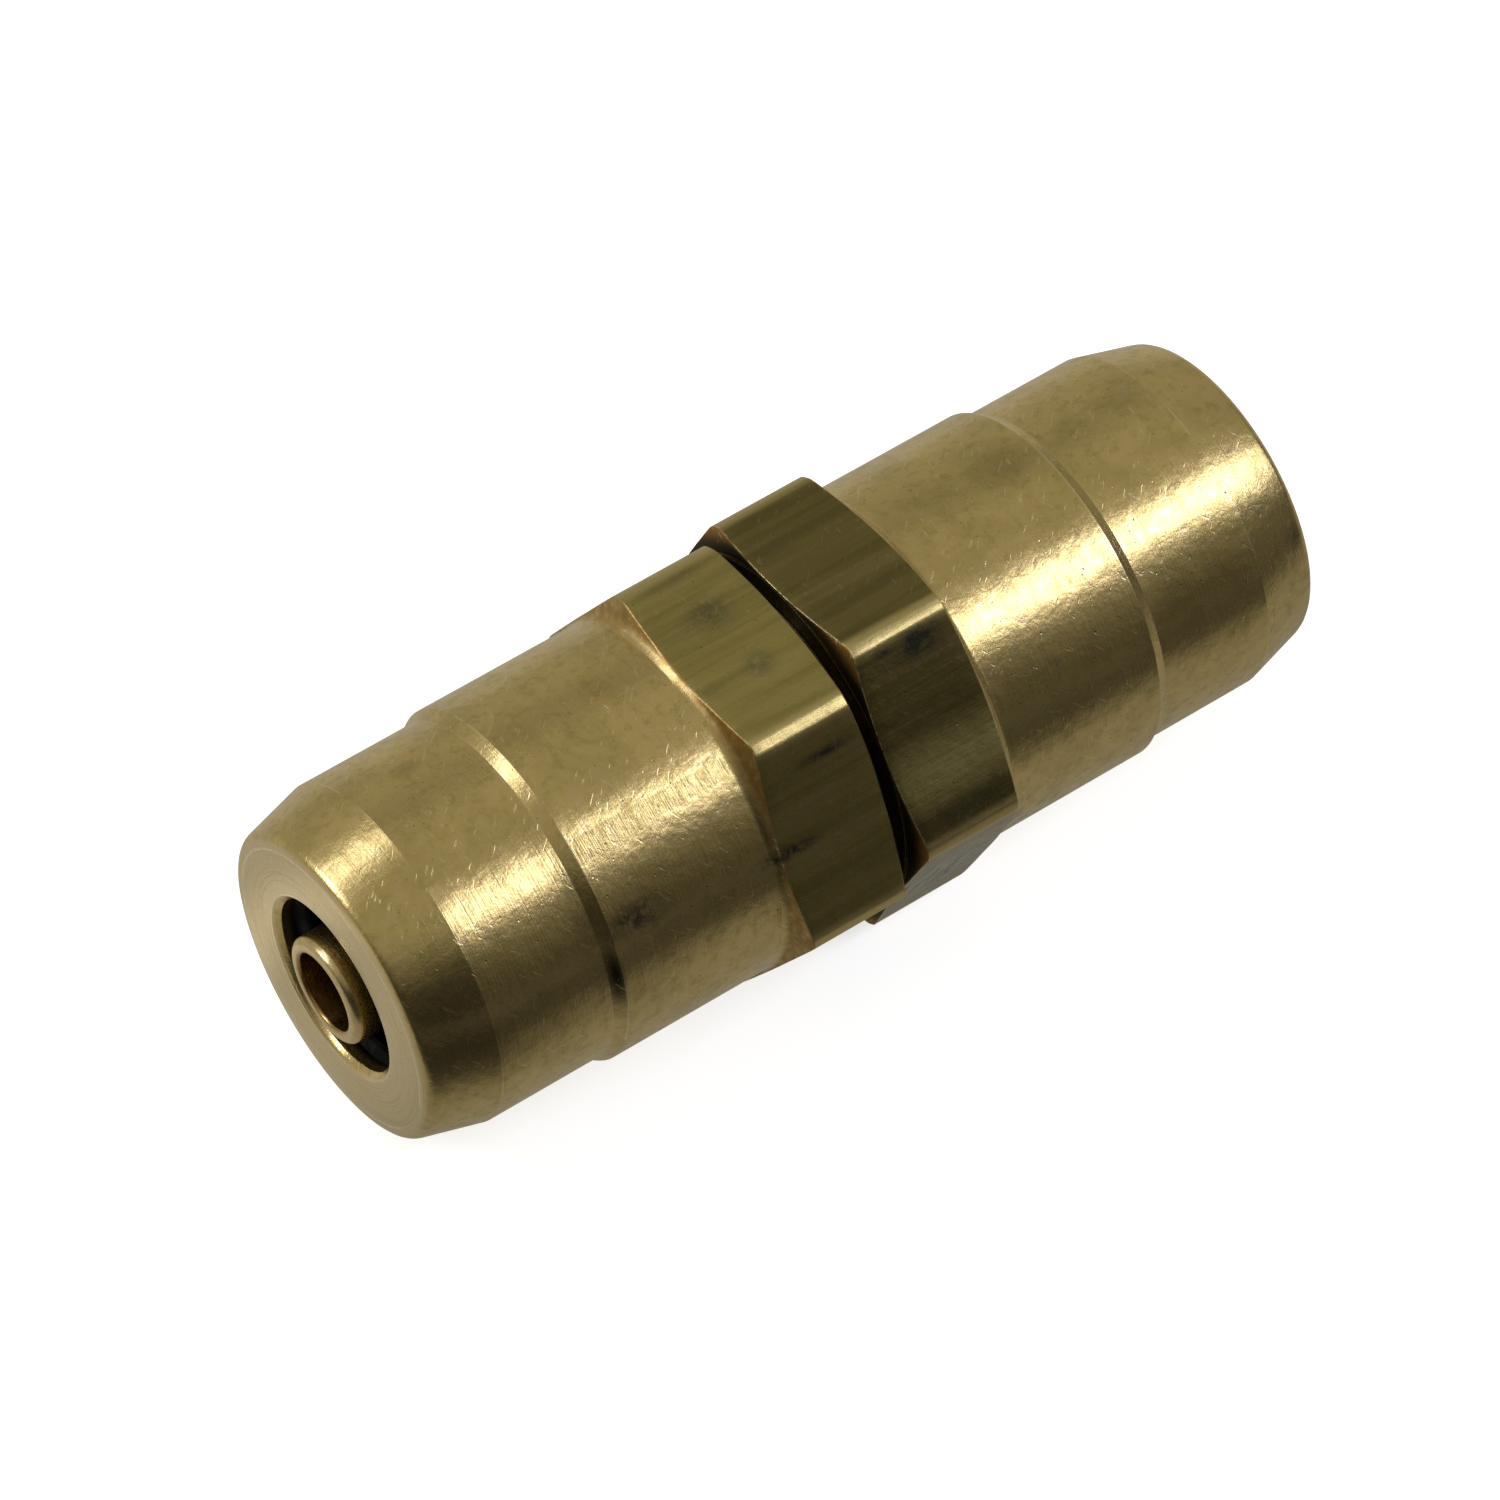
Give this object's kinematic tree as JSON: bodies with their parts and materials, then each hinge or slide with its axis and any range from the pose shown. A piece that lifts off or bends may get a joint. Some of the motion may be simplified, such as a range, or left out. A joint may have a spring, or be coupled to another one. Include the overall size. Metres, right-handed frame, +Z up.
{
  "type": "push-in straight tube union",
  "caption": "Brass push-in straight union: two hexagon-flanged nuts on a threaded body, each with a support sleeve for plastic air tube.",
  "frame": {"origin": "the middle of the union on its axis, between the two hexagons", "axes": "+X along the axis, towards the right-hand tube port; +Z up as the union lies at rest on one corner of each hexagon"},
  "size_m": [0.036, 0.0148, 0.0136],
  "materials": {
    "nut_brass": "satin, turned and drawn, lightly tarnished",
    "sleeve_brass": "satin, turned",
    "body_brass": "machined",
    "inner_brass": "machined",
    "black_rubber": "matt nitrile rubber"
  },
  "bodies": {
    "union_body": {"central_body": "body_brass", "left_support_sleeve": "sleeve_brass", "left_body_seal": "black_rubber", "right_support_sleeve": "sleeve_brass", "right_body_seal": "black_rubber"},
    "left_ring_stack": {"left_inner_tube_seal": "black_rubber", "left_seal_spacer": "inner_brass", "left_outer_tube_seal": "black_rubber", "left_backing_washer": "inner_brass"},
    "left_nut": {"left_coupling_nut": "nut_brass", "left_wiper_ring": "black_rubber"},
    "left_grab": {"left_grab_ring": "inner_brass"},
    "right_ring_stack": {"right_inner_tube_seal": "black_rubber", "right_seal_spacer": "inner_brass", "right_outer_tube_seal": "black_rubber", "right_backing_washer": "inner_brass"},
    "right_nut": {"right_coupling_nut": "nut_brass", "right_wiper_ring": "black_rubber"},
    "right_grab": {"right_grab_ring": "inner_brass"}
  },
  "joints": [
    {"name": "left_nut_advance", "type": "slide", "parent": "union_body", "child": "left_ring_stack", "axis": [-1, 0, 0], "range_m": [0, 0.005]},
    {"name": "left_nut_turn", "type": "hinge", "parent": "left_ring_stack", "child": "left_nut", "pos_m": [-0.0093, 0, 0], "axis": [-1, 0, 0], "range_deg": [0, 1800]},
    {"name": "left_grab_slide", "type": "slide", "parent": "left_ring_stack", "child": "left_grab", "axis": [-1, 0, 0], "range_m": [0, 0.0006]},
    {"name": "right_nut_advance", "type": "slide", "parent": "union_body", "child": "right_ring_stack", "axis": [1, 0, 0], "range_m": [0, 0.005]},
    {"name": "right_nut_turn", "type": "hinge", "parent": "right_ring_stack", "child": "right_nut", "pos_m": [0.0093, 0, 0], "axis": [1, 0, 0], "range_deg": [0, 1800]},
    {"name": "right_grab_slide", "type": "slide", "parent": "right_ring_stack", "child": "right_grab", "axis": [1, 0, 0], "range_m": [0, 0.0006]}
  ],
  "couplings": [
    {"joint": "left_nut_turn", "follows": "left_nut_advance", "rad_per_m": 6283.2},
    {"joint": "right_nut_turn", "follows": "right_nut_advance", "rad_per_m": 6283.2}
  ]
}
